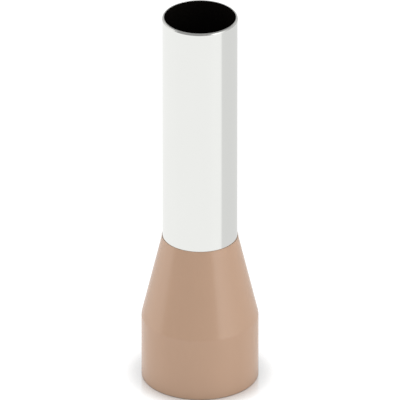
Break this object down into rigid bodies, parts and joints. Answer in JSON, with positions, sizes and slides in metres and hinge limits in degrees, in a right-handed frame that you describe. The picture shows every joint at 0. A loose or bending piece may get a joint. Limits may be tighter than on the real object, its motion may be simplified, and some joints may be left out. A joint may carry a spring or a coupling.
{
  "type": "wire ferrule",
  "caption": "Insulated wire ferrule: a thin tin-plated tube with a bell mouth inside a conical plastic collar, for a stranded conductor.",
  "frame": {"origin": "centre of the collar's mouth, on the surface that the ferrule stands on", "axes": "+Z along the sleeve's axis, from the collar's mouth to the sleeve's tip; the form is round about Z"},
  "size_m": [0.012, 0.012, 0.041],
  "materials": {
    "tin_plate": "bright tin plate on copper, satin, drawn lengthwise",
    "collar_plastic": "light brown moulded plastic, semi-gloss"
  },
  "bodies": {
    "root": {"metal_sleeve": "tin_plate", "insulating_collar": "collar_plastic"}
  },
  "joints": []
}
